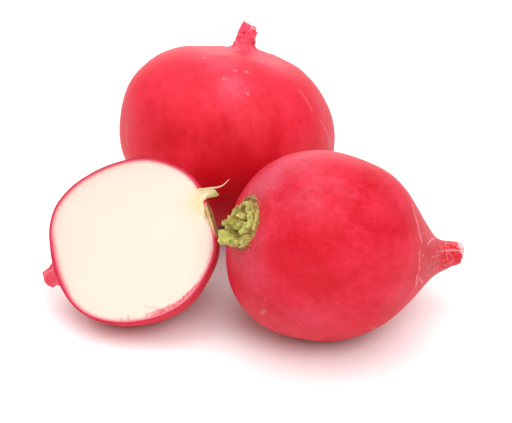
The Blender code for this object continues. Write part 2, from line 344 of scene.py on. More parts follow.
def normals_of(points):
    """Outward directions of a net of rings that runs from the crown down."""
    down = np.gradient(points, axis=0)
    along = np.roll(points, -1, axis=1) - np.roll(points, 1, axis=1)
    ways = np.cross(down, along)
    return ways / np.maximum(np.linalg.norm(ways, axis=-1, keepdims=True), 1e-12)


def to_world(radish):
    """The matrix that lays a root in its place."""
    heading, tilt, roll = (math.radians(angle) for angle in radish.turn)
    return (
        Matrix.Translation(radish.place)
        @ Matrix.Rotation(heading, 4, "Z")
        @ Matrix.Rotation(tilt, 4, "Y")
        @ Matrix.Rotation(roll, 4, "Z")
    )


def carried(points, matrix):
    """The points after this matrix has moved them."""
    matrix = np.array(matrix)
    return points @ matrix[:3, :3].T + matrix[:3, 3]


def laid(radish, points):
    """The points carried from the root's own frame to the table, and none below its surface."""
    world = carried(points, to_world(radish))
    world[..., 2] = np.maximum(world[..., 2], 0.0)
    return world


# Nets


def grid(points, start=False, end=False, **masks):
    """A net of closed rings of points: points, faces and masks. start and end close its ends."""
    rings, sides = points.shape[:2]
    flat = points.reshape(-1, 3)
    index = np.arange(rings * sides).reshape(rings, sides)
    after = np.roll(index, -1, axis=1)
    faces = np.stack([index[:-1], index[1:], after[1:], after[:-1]], axis=-1).reshape(-1, 4).tolist()
    values = {name: np.broadcast_to(mask, (rings, sides)).reshape(-1) for name, mask in masks.items()}
    for wanted, ring, edge in ((start, 0, [index[0], after[0]]), (end, -1, [after[-1], index[-1]])):
        if wanted:
            faces.extend(np.stack([*edge, np.full(sides, len(flat))], axis=-1).tolist())
            flat = np.vstack([flat, points[ring].mean(axis=0)])
            values = {name: np.append(mask, mask[index[ring, 0]]) for name, mask in values.items()}
    return flat, faces, values


def joined(nets):
    """Several nets with the same masks as one."""
    points, faces, masks, base = [], [], {}, 0
    for flat, some, values in nets:
        points.append(flat)
        faces.extend([[corner + base for corner in face] for face in some])
        for name, mask in values.items():
            masks.setdefault(name, []).append(mask)
        base += len(flat)
    return np.vstack(points), faces, {name: np.concatenate(rows) for name, rows in masks.items()}


def near_lines(points, lines):
    """How strongly each point lies on the pale lines: (line of points, width, strength)."""
    mask = np.zeros(points.shape[:-1])
    for line, width, strength in lines:
        for one, two in zip(line[:-1], line[1:]):
            way = two - one
            share = np.clip((points - one) @ way / max(way @ way, 1e-12), 0, 1)
            gap = np.linalg.norm(points - one - share[..., None] * way, axis=-1)
            mask = np.maximum(mask, strength * np.exp(-((gap / (0.85 * width * MM)) ** 2)))
    return mask


def side_at(angle):
    """Which point of a root's ring is at this angle, in degrees."""
    return round(angle % 360 / 360 * ROOT_SIDES) % ROOT_SIDES


def on_surface(points, height, spot):
    """The point of a root's net at (height, angle), below the widest part of the crown."""
    level, angle = spot
    widest = int(np.argmin(np.abs(height - 0.85 * height.max())))
    ring = widest + int(np.argmin(np.abs(height[widest:] - level)))
    return points[ring, side_at(angle)]


def add_piece(radish, label, net, material, slot, *nodes):
    """A mesh object from a net in a root's own frame, laid on the table.

    It rides with the bunch and stands for these CAD nodes. It keeps where each point is in its
    root's own frame, so that streaks can follow the root.
    """
    points, faces, masks = net
    mesh = bpy.data.meshes.new(f"{radish.name}_{label}")
    mesh.from_pydata(laid(radish, points).tolist(), [], faces)
    for name, values in masks.items():
        layer = mesh.attributes.new(name, "FLOAT", "POINT")
        layer.data.foreach_set("value", np.ascontiguousarray(values, np.float32))
    layer = mesh.attributes.new("grain", "FLOAT_VECTOR", "POINT")
    layer.data.foreach_set("vector", np.ascontiguousarray(points / radish.radius, np.float32).ravel())
    mesh.shade_smooth()
    mesh.materials.append(material)
    thing = bpy.data.objects.new(mesh.name, mesh)
    bpy.context.scene.collection.objects.link(thing)
    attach(thing, "root")
    if nodes:
        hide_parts(*[f"{radish.name}_{node}" for node in nodes])
    return thing


# Roots


class CutEnd(NamedTuple):
    """How a taproot was cut off."""

    slope_angle: float  # the side where it was left longer
    slope: float  # how much longer than the middle, in metres
    depth: float  # how far the torn fibres stand in and out, in metres
    peel: float  # how far the skin is peeled back from the end, in metres
    chips: list  # bites out of its rim: (angle, width in degrees, metres), below 0 for a tooth
    dark: list  # where the skin reaches the end: (angle, width in degrees)


def apart_from(around, angle, width):
    """1 at this angle, falling away on both sides."""
    apart = np.angle(np.exp(1j * (around - math.radians(angle))))
    return np.exp(-((apart / math.radians(width)) ** 2))


def ragged_end(radish, points, at, end):
    """Tears the end of the cut taproot, and gives the mask of what is peeled or cut."""
    steps = len(radish.outline) - 1
    around = all_round(ROOT_SIDES)
    ramp = smooth(steps - 1.9, steps - 1.0, at)[:, None]
    inner = smooth(steps - 1.0, steps - 0.80, at)[:, None]
    middle = points.mean(axis=1)
    rim_ring = int(np.argmin(np.abs(at - (steps - 1))))
    way = middle[-1] - middle[np.argmin(np.abs(at - (steps - 3)))]
    way = way / np.linalg.norm(way)
    rim = noise(points, 0.45 * MM, radish.seed + 60) + 0.5 * noise(points, 0.18 * MM, radish.seed + 61)
    torn = end.depth * (0.30 * rim - 0.85 * inner + 0.35 * inner * rim)
    face = 1 - smooth(steps - 1.0, steps, at)[:, None]
    torn = torn + end.slope * np.cos(around - math.radians(end.slope_angle)) * face
    for angle, width, amount in end.chips:
        torn = torn - amount * apart_from(around, angle, width) * (1 - 0.6 * inner)
    from_end = (middle[rim_ring] - points) @ way
    fray = noise(points * np.array([1, 1, 0.5]), 0.35 * MM, radish.seed + 62)
    fray = end.peel * (1 + 0.9 * fray + 0.5 * noise(points, 0.14 * MM, radish.seed + 63))
    for angle, width in end.dark:
        fray = fray - 1.2 * end.peel * apart_from(around, angle, width)
    peeled = 1 - smooth(-0.15 * MM, 0.12 * MM, from_end - fray)
    peeled = peeled * (at[:, None] > steps - 3)
    thinner = 0.05 * MM * peeled * (1 - inner)
    moved = points + (ramp * torn)[..., None] * way - thinner[..., None] * normals_of(points)
    return moved, np.maximum(inner, peeled)


FRONT_END = CutEnd(
    slope_angle=55, slope=0.22 * MM, depth=0.20 * MM, peel=0.36 * MM,
    chips=[(38, 30, -0.38 * MM), (80, 7, 0.16 * MM), (330, 20, 0.20 * MM)],
    dark=[(30, 25), (207, 38)],
)
BACK_END = CutEnd(
    slope_angle=247, slope=0.42 * MM, depth=0.55 * MM, peel=0.45 * MM,
    chips=[(67, 38, 0.55 * MM), (200, 15, 0.25 * MM), (140, 12, 0.30 * MM)],
    dark=[(225, 60)],
)
HALF_END = CutEnd(
    slope_angle=185, slope=0.18 * MM, depth=0.18 * MM, peel=0.20 * MM,
    chips=[(10, 38, 0.65 * MM)], dark=[(0, 60)],
)


def nearest(radish, points, level, angle):
    """The point of the net at this angle that is nearest to this height on the outer surface."""
    column = points[:, side_at(angle)]
    inner = np.linalg.norm(column[:, :2], axis=-1) < 0.3 * radish.radius
    return column[np.argmin(np.abs(column[:, 2] / radish.radius - level) + 0.02 * inner)]


def spot_mask(radish, points, spots, seed):
    """Soft patches round these spots, with uneven edges."""
    mask = np.zeros(points.shape[:-1])
    wobble = 1 + 0.45 * noise(points, 3.0 * MM, seed) + 0.20 * noise(points, 1.0 * MM, seed + 1)
    for level, angle, reach, strength in spots:
        gap = np.linalg.norm(points - nearest(radish, points, level, angle), axis=-1) * wobble
        mask = 1 - (1 - mask) * (1 - strength * np.exp(-((gap / (reach * MM)) ** 2)))
    return mask


def skin_relief(radish, points, at, pits):
    """Dents, rings and pits of the skin in metres outwards, where it is dark and knobbly, and the
    mask of the taproot."""
    at = at[:, None]
    last = len(radish.outline) - 1
    taproot = smooth(radish.body_steps - 0.5, radish.body_steps + 2.0, at)
    taproot_side = taproot * (1 - smooth(last - 1.05, last - 0.95, at))
    crown = 1 - smooth(2.0, 4.5, at)
    seed = radish.seed * 10
    relief = 0.045 * MM * noise(points, 5.0 * MM, seed) + 0.014 * MM * rough(points, 1.6 * MM, seed + 1)
    stretched = points * np.array([1.0, 1.0, 0.22])
    relief = relief + (0.008 + 0.03 * crown) * MM * noise(stretched, 0.7 * MM, seed + 3)
    flattened = points * np.array([0.15, 0.15, 1.0])
    rings = noise(flattened, 0.55 * MM, seed + 4)
    relief = relief + taproot_side * (0.022 + 0.03 * pits) * MM * rings
    lumps = rough(points, 0.8 * MM, seed + 5)
    relief = relief + taproot * pits * 0.32 * MM * lumps
    holes = smooth(0.50, 0.85, noise(points, 0.75 * MM, seed + 6)) * taproot_side * pits
    relief = relief - 0.16 * MM * holes
    dark = np.clip(0.8 * holes + 0.5 * taproot * pits * smooth(0.3, 0.8, -lumps), 0, 1)
    knobs = taproot * pits * smooth(0.15, 0.55, lumps)
    return relief, 0.8 * dark, knobs, taproot_side


class Marks(NamedTuple):
    """What the skin of one radish has gone through, and where shade and highlights are painted on it.
    """

    scratches: list
    specks: list
    bloom_and_highlight: list
    deep_red_and_shade: list
    pits: float  # how knobbly its taproot is, from 0 to 1
    fresh: float  # how light and pink its red is, from 0 to 1


FRONT_MARKS = Marks(FRONT_SCRATCHES, FRONT_SPECKS, FRONT_BLOOM, FRONT_DEEP, pits=0.15, fresh=0.0)
BACK_MARKS = Marks(BACK_SCRATCHES, BACK_SPECKS, BACK_BLOOM_AND_HIGHLIGHT, BACK_PAINTED_SHADE, pits=0.9, fresh=0.55)
HALF_MARKS = Marks(HALF_SCRATCHES, HALF_SPECKS, HALF_BLOOM, HALF_DEEP, pits=0.6, fresh=0.3)


def root_skin(radish, marks, end):
    """The fine net of a root's skin with its masks, in the root's own frame."""
    points, height, at = root_net(radish, radish.outline, 0.0, radish.body_steps)
    lines = [
        (np.array([on_surface(points, height, spot) for spot in line]), width, strength)
        for line, width, strength in marks.scratches
    ]
    dots = [(on_surface(points, height, speck[:2]), speck[2]) for speck in marks.specks]
    wobble = np.stack([noise(points, 1.1 * MM, radish.seed + 80 + k) for k in range(3)], axis=-1)
    pale = near_lines(points + 0.10 * MM * wobble, lines)
    pale = pale * (0.72 + 0.40 * noise(points, 0.5 * MM, radish.seed + 90))
    for dot, size in dots:
        gap = np.linalg.norm(points - dot, axis=-1)
        pale = np.maximum(pale, 0.75 * np.exp(-((gap / (0.6 * size * MM)) ** 2)))
    # Dusty pink bloom, which on the back radish is partly a painted highlight
    bloom_and_highlight = spot_mask(radish, points, marks.bloom_and_highlight, radish.seed + 30)
    # Deeper red, which on the back radish is painted shade low between the roots
    deep_red_and_shade = spot_mask(radish, points, marks.deep_red_and_shade, radish.seed + 33)
    relief, dark, knobs, taproot = skin_relief(radish, points, at, marks.pits)
    points = points + (relief + 0.03 * MM * pale)[..., None] * normals_of(points)
    points, cut = ragged_end(radish, points, at, end)
    return points, {
        "pale": np.clip(np.maximum(pale, 0.45 * knobs), 0, 1), "dark": dark * (1 - cut),
        "cut_end": cut, "bloom_and_highlight": bloom_and_highlight, "deep_red_and_shade": deep_red_and_shade, "crown": 1 - smooth(1.6, 3.4, at)[:, None],
        "lined": taproot * (1 - marks.pits), "knobbly": taproot * marks.pits, "fresh": marks.fresh,
    }


def add_whole_root(radish, marks, end, material):
    """A whole radish's skin, closed all round."""
    points, masks = root_skin(radish, marks, end)
    net = grid(points, start=True, end=True, **masks)
    add_piece(radish, "radish", net, material, "radish_skin", "root")


# The cut radish


# Nets of the cut face, of the back of its flesh and of the cut edge of its skin
FACE_MIDDLE = np.array([0.0, -CUT_OFFSET, 0.0])
FACE_SIDES = 360
FACE_RINGS = 44
BACK_RINGS = 20
RIM_RINGS = 9


def surface_tree(radish, outline, inset, body_steps):
    """A search tree of the root's surface at this inset, in its own frame."""
    points = root_net(radish, outline, inset, body_steps)[0]
    flat, faces, _ = grid(points, start=True, end=True)
    return BVHTree.FromPolygons(flat.tolist(), faces)


def rays(tree, ways):
    """Where rays from the middle of the cut face meet the surface."""
    found = np.empty(ways.shape)
    for spot in np.ndindex(ways.shape[:-1]):
        hit = tree.ray_cast(Vector(FACE_MIDDLE), Vector(ways[spot]))[0]
        found[spot] = FACE_MIDDLE if hit is None else hit
    return found


def face_ways(turns, lifts):
    """Directions in the cut plane at these angles, lifted off it to the back by these angles."""
    lift = np.array(lifts)[:, None]
    x, y = np.cos(turns), np.sin(turns)
    return np.dstack([np.cos(lift) * x, np.sin(lift) + 0 * x, np.cos(lift) * y])


def crown_masks(points, radish):
    """Where the cut face is tan cork, and where it is tinged green, near the crown."""
    across, height = points[..., 0] / radish.radius, points[..., 2] / radish.radius
    wobble = 0.020 * noise(points, 1.2 * MM, 71) + 0.012 * noise(points, 0.4 * MM, 72)
    arch = np.sqrt(np.clip(1 - ((across - 0.075) / 0.255) ** 2, 0, 1))
    tan = smooth(0.0, 0.035, height - (1.035 - 0.105 * arch) + wobble) * (arch > 0)
    tan = np.maximum(tan * smooth(0, 0.3, arch), 0.0)
    gap = np.hypot((across + 0.17) / 0.17, (height - 0.97) / 0.17)
    green = np.exp(-gap ** 2) * 0.95
    return tan, green


def on_face(radish, spots):
    """Points of the cut plane from (across, height)."""
    return np.array([(x * radish.radius, -CUT_OFFSET, z * radish.radius) for x, z in spots])


# Nicks of the knife in the edge of the cut face, and the step that it left: (across, height)
FACE_NICKS = [
    [(0.990, -0.425), (0.850, -0.402)], [(0.990, -0.330), (0.855, -0.314)],
    [(0.990, -0.105), (0.895, -0.092)], [(0.990, -0.235), (0.925, -0.225)],
]
FACE_STEP = [
    (0.800, -0.050), (0.838, 0.010), (0.850, 0.060), (0.900, 0.095), (0.925, 0.160), (0.985, 0.200),
]


def flesh_net(radish, tree):
    """The flesh of the cut radish: a nearly flat face, closed behind along the inside of the skin."""
    turns = all_round(FACE_SIDES)
    rim = rays(tree, face_ways(turns, [0.0]))[0]
    reach = np.linalg.norm(rim - FACE_MIDDLE, axis=-1)
    share = 1 - (1 - np.linspace(0.01, 1, FACE_RINGS)[:, None]) ** 1.7
    face = FACE_MIDDLE + share[..., None] * (rim - FACE_MIDDLE)
    edge = (1 - share) * reach
    relief = 0.03 * MM * noise(face, 4 * MM, 41) + 0.012 * MM * rough(face, 0.9 * MM, 42)
    relief = relief + 0.004 * MM * noise(face * np.array([0.12, 1, 1]), 0.5 * MM, 43)
    nicks = near_lines(face, [(on_face(radish, line), 0.20, 1.0) for line in FACE_NICKS])
    step = near_lines(face, [(on_face(radish, FACE_STEP), 0.45, 1.0)])
    step = step * (0.75 + 0.5 * noise(face, 0.5 * MM, 44))
    relief = relief - 0.08 * MM * nicks + 0.22 * MM * step
    relief = relief - 0.07 * MM * (1 - smooth(0, 0.35 * MM, edge))
    tan, green = crown_masks(face, radish)
    upper_left = smooth(-0.4, 0.9, np.cos(turns - math.radians(212)))
    ragged = edge + 0.22 * MM * noise(face, 0.8 * MM, 46) + 0.10 * MM * noise(face, 0.3 * MM, 47)
    side = np.degrees(np.angle(np.exp(1j * turns)))
    torn = smooth(1.05 * MM, 0.55 * MM, ragged / (0.35 + 0.65 * smooth(45, 8, side)))
    torn = torn * smooth(-8, 2, side) * smooth(80, 30, side)
    lifts = np.linspace(0, math.pi / 2, BACK_RINGS + 1)[1:-1]
    back = rays(tree, face_ways(turns, lifts))
    points = np.concatenate([face - relief[..., None] * np.array([0, 1, 0]), back])
    masks = {
        "edge": edge / MM, "tan": tan, "green": green, "glow": 0.25 + 0.75 * upper_left + 0 * edge,
        "blush": upper_left * share ** 1.5, "nick": np.maximum(nicks, 0.20 * step), "torn": torn,
    }
    behind = np.zeros(back.shape[:2])
    masks = {name: np.concatenate([mask, behind]) for name, mask in masks.items()}
    return grid(points, start=True, end=True, **masks)


def rim_net(radish, tree, outer_tree):
    """The cut edge of the skin: out from the flesh to its surface, and a little way down inside."""
    ways = face_ways(all_round(FACE_SIDES), [0.0])
    inside, outside = rays(tree, ways)[0], rays(outer_tree, ways)[0]
    share = np.linspace(-0.1, 1, RIM_RINGS)[:, None]
    rim = inside + share[..., None] * (outside - inside)
    hump = 0.05 * MM * (1 - (2 * np.clip(share, 0, 1) - 1) ** 2) - 0.03 * MM
    bite = 0.03 * MM * noise(rim, 0.6 * MM, 51)
    rim = rim - ((hump + bite) * (share < 0.95))[..., None] * np.array([0, 1, 0])
    wall = inside + np.array([0, 0.8 * MM, 0])
    points = np.concatenate([wall[None], rim])
    out = np.append(0.2, np.linspace(0, 1, RIM_RINGS))[:, None]
    return grid(points, tan=crown_masks(points, radish)[0], rim=out)


def cut_off(thing, radish):
    """Takes away what the knife took: the side of the root in front of the cut plane."""
    matrix = to_world(radish)
    shape = bmesh.new()
    shape.from_mesh(thing.data)
    bmesh.ops.bisect_plane(
        shape, geom=shape.verts[:] + shape.edges[:] + shape.faces[:], dist=1e-7,
        plane_co=matrix @ Vector(FACE_MIDDLE), plane_no=matrix.to_3x3() @ Vector((0, -1, 0)),
        clear_outer=True,
    )
    shape.to_mesh(thing.data)
    shape.free()


def add_halved_root(radish, marks, end, paints):
    """The cut radish: skin with its cut edge and whole taproot, and the flesh."""
    body = radish.outline[:FLESH_STEPS] + FLESH_END
    tree = surface_tree(radish, body, inset=SKIN_THICKNESS, body_steps=9)
    outer_tree = surface_tree(radish, radish.outline, inset=0.0, body_steps=radish.body_steps)
    points, masks = root_skin(radish, marks, end)
    masks["tan"] = crown_masks(points, radish)[0]
    net = grid(points, start=True, end=True, **masks)
    cut_off(add_piece(radish, "radish_skin", net, paints["skin"], "radish_skin", "skin"), radish)
    add_piece(radish, "radish_rim", rim_net(radish, tree, outer_tree), paints["rim"], "radish_skin")
    net = flesh_net(radish, tree)
    add_piece(radish, "radish_flesh", net, paints["flesh"], "radish_flesh", "flesh")


# Leaf stalks and hairs


def across_from(way):
    """Two directions across this one."""
    way = way / np.linalg.norm(way)
    side = np.cross(way, [0, 0, 1.0]) if abs(way[2]) < 0.9 else np.cross(way, [0, 1.0, 0])
    side = side / np.linalg.norm(side)
    return np.array([side, np.cross(side, way)])


def hair(path, thick, thin, sides=5, smooth_by=5, tone=0.5):
    """A fine tapered thread along a path of points."""
    path = np.array(path, float)
    knots = np.linspace(0, 1, len(path))
    fine = np.linspace(0, 1, (len(path) - 1) * smooth_by + 1)
    line = np.stack([np.interp(fine, knots, path[:, k]) for k in range(3)], axis=-1)
    for _ in range(2):
        line[1:-1] = (line[:-2] + 2 * line[1:-1] + line[2:]) / 4
    wide = (thick + (thin - thick) * fine)[:, None, None] / 2
    points = line[:, None, :] + wide * (ways_at(all_round(sides)) @ across_from(line[-1] - line[0]))
    return grid(points, start=True, end=True, tone=tone)


def stalk(radish, base, seed, angle, out, width, thickness, length, lean, tone, curl=0.0):
    """A cut leaf stalk in the root's own frame: ribbed, hollowed inside, knobbly, with a torn end."""
    turn = all_round(STALK_SIDES)
    rise = np.linspace(0, 1, STALK_RINGS)[:, None]
    x, y = np.cos(turn), np.sin(turn)
    x = np.where(x < 0, x * 0.42 + 0.22 * np.clip(1 - 1.7 * np.abs(y), 0, 1), x)
    ribs = (1 + 0.055 * np.cos(9 * turn + seed)) * (1 - 0.16 * rise + 0.10 * np.exp(-rise * 9)) / 2
    torn = 0.07 * np.sin(3 * turn + seed) + 0.03 * np.sin(7 * turn + 2 * seed)
    climb = rise * (length + 0.08) - 0.08 + smooth(0.6, 1.0, rise) * torn * min(length, 0.12)
    shaft = np.dstack([x * ribs * thickness, y * ribs * width, climb])
    close = np.linspace(0.93, 0.06, STALK_CAPS)[:, None]
    cap = shaft[-1] * close[..., None]
    dip = 0.16 * (1 - close ** 2) * min(thickness, width)
    cap[..., 2] += shaft[-1][..., 2].mean() * (1 - close) - dip
    points = np.concatenate([shaft, cap])
    points[..., 0] += curl * np.clip(points[..., 2], 0, None) ** 2 / max(length, 0.02)
    place = (
        Matrix.Rotation(math.radians(angle), 4, "Z")
        @ Matrix.Translation((out, 0, 0))
        @ Matrix.Rotation(math.radians(lean), 4, "Y")
    )
    points = (carried(points, place) + np.array(base)) * radish.radius
    knobs = rough(points, 0.75 * MM, seed + 7, 3)
    points = points + (0.060 * MM * knobs)[..., None] * normals_of(points)
    heart = np.concatenate([0 * rise, 1 - 0.4 * close]) * min(1.0, 2 * tone)
    low = 1 - smooth(0.0, 0.09, points[..., 2] / radish.radius - base[2])
    # The crevice mask marks the hollows between the knobs, where shade is painted
    return grid(points, end=True, tone=tone, crevice=np.clip(-knobs, 0, 1), heart=heart, low=low)


def pad(radish, base, size):
    """The knobbly pad of the crown that the stalks grow from."""
    turn = all_round(PAD_SIDES)
    fall = np.linspace(0.02, 0.62 * math.pi, PAD_RINGS)[:, None]
    flat = (np.sin(fall) * size)[..., None] * ways_at(turn)
    points = np.dstack([flat, np.cos(fall) * PAD_THICKNESS + 0 * turn])
    points = (points + np.array(base)) * radish.radius
    knobs = rough(points, 0.8 * MM, radish.seed + 5)
    points = points + (0.16 * MM * knobs)[..., None] * normals_of(points)
    # Painted shade in the hollows between the knobs of the pad
    crevice = np.clip(-1.3 * knobs, 0, 1)
    return grid(points, start=True, tone=0.15 + 0.25 * (knobs > 0.1), crevice=crevice, heart=0, low=1)


def crown_hairs(radish, base, size, count):
    """Short stiff hairs round a crown, in the root's own frame."""
    random = np.random.default_rng(radish.seed)
    nets = []
    for _ in range(count):
        angle = random.uniform(0, 2 * math.pi)
        way = np.append(ways_at(angle), 0.0)
        foot = (size * random.uniform(0.55, 1.08) * way + np.array(base)) * radish.radius
        away = way + np.array([0, 0, random.uniform(0.2, 1.4)])
        away = away / np.linalg.norm(away) * random.uniform(0.4, 1.0) * MM
        tip = foot + away + random.normal(0, 0.16, 3) * MM
        path = [foot, foot + 0.5 * away, tip]
        nets.append(hair(path, 0.060 * MM, 0.022 * MM, sides=4, smooth_by=3, tone=0.6))
    return joined(nets)


# Nets of a leaf stalk and of the pad that the stalks grow from
STALK_SIDES = 44
STALK_RINGS = 26
STALK_CAPS = 7
PAD_SIDES = 120
PAD_RINGS = 30
PAD_THICKNESS = 0.055

# (angle, distance out, width, thickness, length, lean, tone, curl if any): tone goes from tan to
# green
FRONT_STALKS = [
    (352, 0.170, 0.25, 0.150, 0.215, 10, 0.95, 0.10), (24, 0.165, 0.21, 0.130, 0.160, 16, 0.85, 0.06),
    (62, 0.165, 0.17, 0.120, 0.105, 22, 0.60), (92, 0.120, 0.17, 0.110, 0.125, 12, 0.80),
    (126, 0.150, 0.20, 0.115, 0.110, 18, 0.70), (160, 0.140, 0.19, 0.110, 0.100, 16, 0.75),
    (196, 0.160, 0.20, 0.115, 0.085, 18, 0.55), (232, 0.170, 0.19, 0.110, 0.080, 14, 0.35),
    (268, 0.160, 0.20, 0.120, 0.110, 12, 0.60), (308, 0.160, 0.20, 0.120, 0.140, 10, 0.70),
    (325, 0.060, 0.055, 0.160, 0.235, 2, 1.00), (75, 0.040, 0.14, 0.100, 0.150, 4, 0.90),
    (190, 0.050, 0.15, 0.100, 0.130, 4, 0.85),
]
FRONT_SCALES = [
    (62, 0.215, 0.20, 0.075, 0.085, 24, 0.45), (98, 0.225, 0.13, 0.060, 0.035, 30, 0.10),
    (124, 0.215, 0.22, 0.070, 0.060, 22, 0.55), (158, 0.225, 0.15, 0.060, 0.040, 28, 0.25),
    (186, 0.215, 0.22, 0.080, 0.045, 20, 0.10), (222, 0.220, 0.20, 0.070, 0.040, 24, 0.00),
    (262, 0.220, 0.22, 0.070, 0.050, 22, 0.20), (305, 0.225, 0.20, 0.060, 0.040, 26, 0.30),
    (350, 0.230, 0.16, 0.060, 0.030, 26, 0.10), (28, 0.225, 0.22, 0.060, 0.040, 28, 0.20),
    (172, 0.245, 0.16, 0.060, 0.030, 40, 0.00), (200, 0.250, 0.20, 0.090, 0.050, 30, 0.05),
    (224, 0.250, 0.18, 0.080, 0.045, 32, 0.00), (245, 0.240, 0.18, 0.060, 0.035, 40, 0.00),
]
BACK_STALKS = [
    (10, 0.130, 0.18, 0.100, 0.050, 8, 0.6), (80, 0.130, 0.16, 0.095, 0.045, 8, 0.7),
    (150, 0.130, 0.18, 0.105, 0.055, 8, 0.5), (220, 0.130, 0.16, 0.095, 0.045, 8, 0.6),
    (290, 0.130, 0.17, 0.100, 0.050, 8, 0.7), (40, 0.04, 0.10, 0.07, 0.05, 3, 0.9),
    (190, 0.05, 0.10, 0.07, 0.045, 3, 0.8),
]
HALF_STALKS = [
    (55, 0.140, 0.18, 0.100, 0.030, 10, 0.3), (110, 0.140, 0.18, 0.095, 0.040, 10, 0.4),
    (350, 0.140, 0.18, 0.100, 0.030, 10, 0.2), (160, 0.120, 0.16, 0.095, 0.040, 6, 0.4),
    (85, 0.06, 0.12, 0.08, 0.035, 4, 0.5),
]


def add_tuft(radish, stalks, paints, size, hairs, drop=0.0):
    """The crown pad of a radish with its cut leaf stalks, and the short hairs round them."""
    base = (*radish.crown_bend, radish.outline[1][0] - drop)
    nets = [pad(radish, base, size)]
    for number, row in enumerate(stalks):
        nets.append(stalk(radish, base, 11 * number + radish.seed, *row))
    add_piece(radish, "cut_stalks", joined(nets), paints["stalk"], "cut_stalk", "leaf_stalks")
    if hairs:
        net = crown_hairs(radish, base, size, hairs)
        add_piece(radish, "crown_hairs", net, paints["hair"], "cut_stalk")


# The stalk that the knife split on the cut radish, in the cut plane: (across, height) round it,
# and the fibre that stands off its tip: (across, height, share behind the plane)
NUB = [
    (-0.225, 0.860), (-0.300, 0.890), (-0.340, 0.960), (-0.326, 1.020), (-0.312, 1.060),
    (-0.290, 1.105), (-0.260, 1.150), (-0.236, 1.170), (-0.214, 1.165), (-0.190, 1.190),
    (-0.170, 1.170), (-0.176, 1.120), (-0.182, 1.080), (-0.190, 1.040), (-0.182, 1.000),
    (-0.160, 0.940),
]
FIBRE = [
    (-0.312, 1.010, 0.02), (-0.300, 1.080, 0.01), (-0.284, 1.140, 0.005), (-0.270, 1.200, 0.01),
    (-0.274, 1.255, 0.02), (-0.296, 1.305, 0.03), (-0.328, 1.355, 0.05),
]
NUB_DEPTH = 0.115
NUB_RAISED = 0.006
NUB_FACE_RINGS = 14
NUB_BACK_RINGS = 14


def nub_net(radish):
    """The split stalk: flat and moist on the cut plane, rounded behind it."""
    closed = np.array(NUB + NUB[:1])
    fine = np.linspace(0, len(NUB), 128, endpoint=False)
    ring = np.stack([np.interp(fine, range(len(closed)), closed[:, k]) for k in range(2)], axis=-1)
    for _ in range(8):
        ring = (np.roll(ring, 1, axis=0) + 2 * ring + np.roll(ring, -1, axis=0)) / 4
    middle = ring.mean(axis=0)
    flat = [(share, 0.0) for share in np.linspace(0.06, 0.97, NUB_FACE_RINGS)]
    round_back = [(math.cos(t), math.sin(t)) for t in np.linspace(0.0, 1.45, NUB_BACK_RINGS)]
    rings = []
    for share, back in flat + round_back:
        at = middle + (ring - middle) * share
        inside = smooth(1.00, 0.88, at[:, 1])
        level = -CUT_OFFSET / radish.radius - NUB_RAISED * (1 - 1.6 * inside) + NUB_DEPTH * back
        rings.append(np.stack([at[:, 0], level, at[:, 1]], axis=-1))
    points = np.array(rings) * radish.radius
    knobs = rough(points, 0.5 * MM, 77)
    points = points + 0.05 * MM * knobs[..., None] * np.array([0.6, -1, 0.6])
    across, out = points[..., 0] / radish.radius, points[..., 2] / radish.radius
    far = smooth(1.03, 1.17, out)
    above = smooth(-0.235, -0.30, across) * smooth(0.93, 1.02, out)
    below = smooth(-0.235, -0.185, across) * smooth(0.98, 1.06, out)
    # Olive colour of the split stalk, with painted shade in the hollows between its knobs
    olive = 0.80 * below + 0.45 * far + 0.6 * np.clip(-knobs, 0, 1) * (out > 1.0)
    return grid(
        points, start=True, end=True, edge=9.0, glow=0.0, blush=0.0, nick=0.20 * above,
        green=0.65 + 0.35 * far, olive=np.clip(olive, 0, 1),
        tan=np.clip(0.55 * above + 0.35 * far * smooth(0.0, 0.5, knobs), 0, 1),
    )


def add_split_crown(radish, paints):
    """What is left of the cut radish's crown: short stalks behind the cut, and the split one."""
    add_tuft(radish, HALF_STALKS, paints, size=0.145, hairs=0, drop=0.03)
    add_piece(radish, "split_stalk", nub_net(radish), paints["flesh"], "radish_flesh")
    front = -CUT_OFFSET / radish.radius - NUB_RAISED
    fibre = np.array([(across, front + behind, height) for across, height, behind in FIBRE])
    net = hair(fibre * radish.radius, 0.46 * MM, 0.13 * MM, sides=8, smooth_by=6, tone=1.0)
    add_piece(radish, "stalk_fibre", net, paints["hair"], "cut_stalk")


# Fine roots: (angle, height, how far it reaches, how far it rises), the points of each one:
# (share of its reach, distance out, share of its rise), and how far its tip drifts
BACK_HAIRS = [
    (67, -0.90, 0.17, -0.02), (80, -0.80, 0.15, -0.05), (250, -0.86, 0.09, -0.03),
    (20, -0.98, 0.10, -0.05), (300, -0.93, 0.09, 0.02), (150, -0.84, 0.08, -0.03),
    (110, -1.00, 0.08, -0.04),
]
BACK_HAIR_POINTS = [(0.0, 0.075, 0.0), (0.5, 0.095, 1.0), (1.0, 0.095, 2.2)]
BACK_HAIR_DRIFT = (0.02, 0.01, 0.0)
HALF_HAIRS = [(95, -1.10, 0.10, -0.10), (60, -1.16, 0.12, -0.12), (200, -1.15, 0.08, -0.04)]
HALF_HAIR_POINTS = [(0.0, 0.10, 0.0), (0.5, 0.12, 0.5), (1.0, 0.10, 1.0)]
HALF_HAIR_DRIFT = (0.0, 0.0, 0.0)


def add_root_hairs(radish, rows, path, drift, thick, paint):
    """The few fine roots that are left by a cut taproot."""
    nets = []
    for angle, level, reach, rise in rows:
        way = np.append(ways_at(math.radians(angle)), 0.0)
        foot = np.append(off_axis(radish, np.array(level)), level)
        points = [foot + way * (share * reach + out) + [0, 0, up * rise] for share, out, up in path]
        points[-1] += drift
        nets.append(hair(np.array(points) * radish.radius, thick, 0.03 * MM, tone=0.2))
    add_piece(radish, "root_hairs", joined(nets), paint, "radish_skin")


# Materials


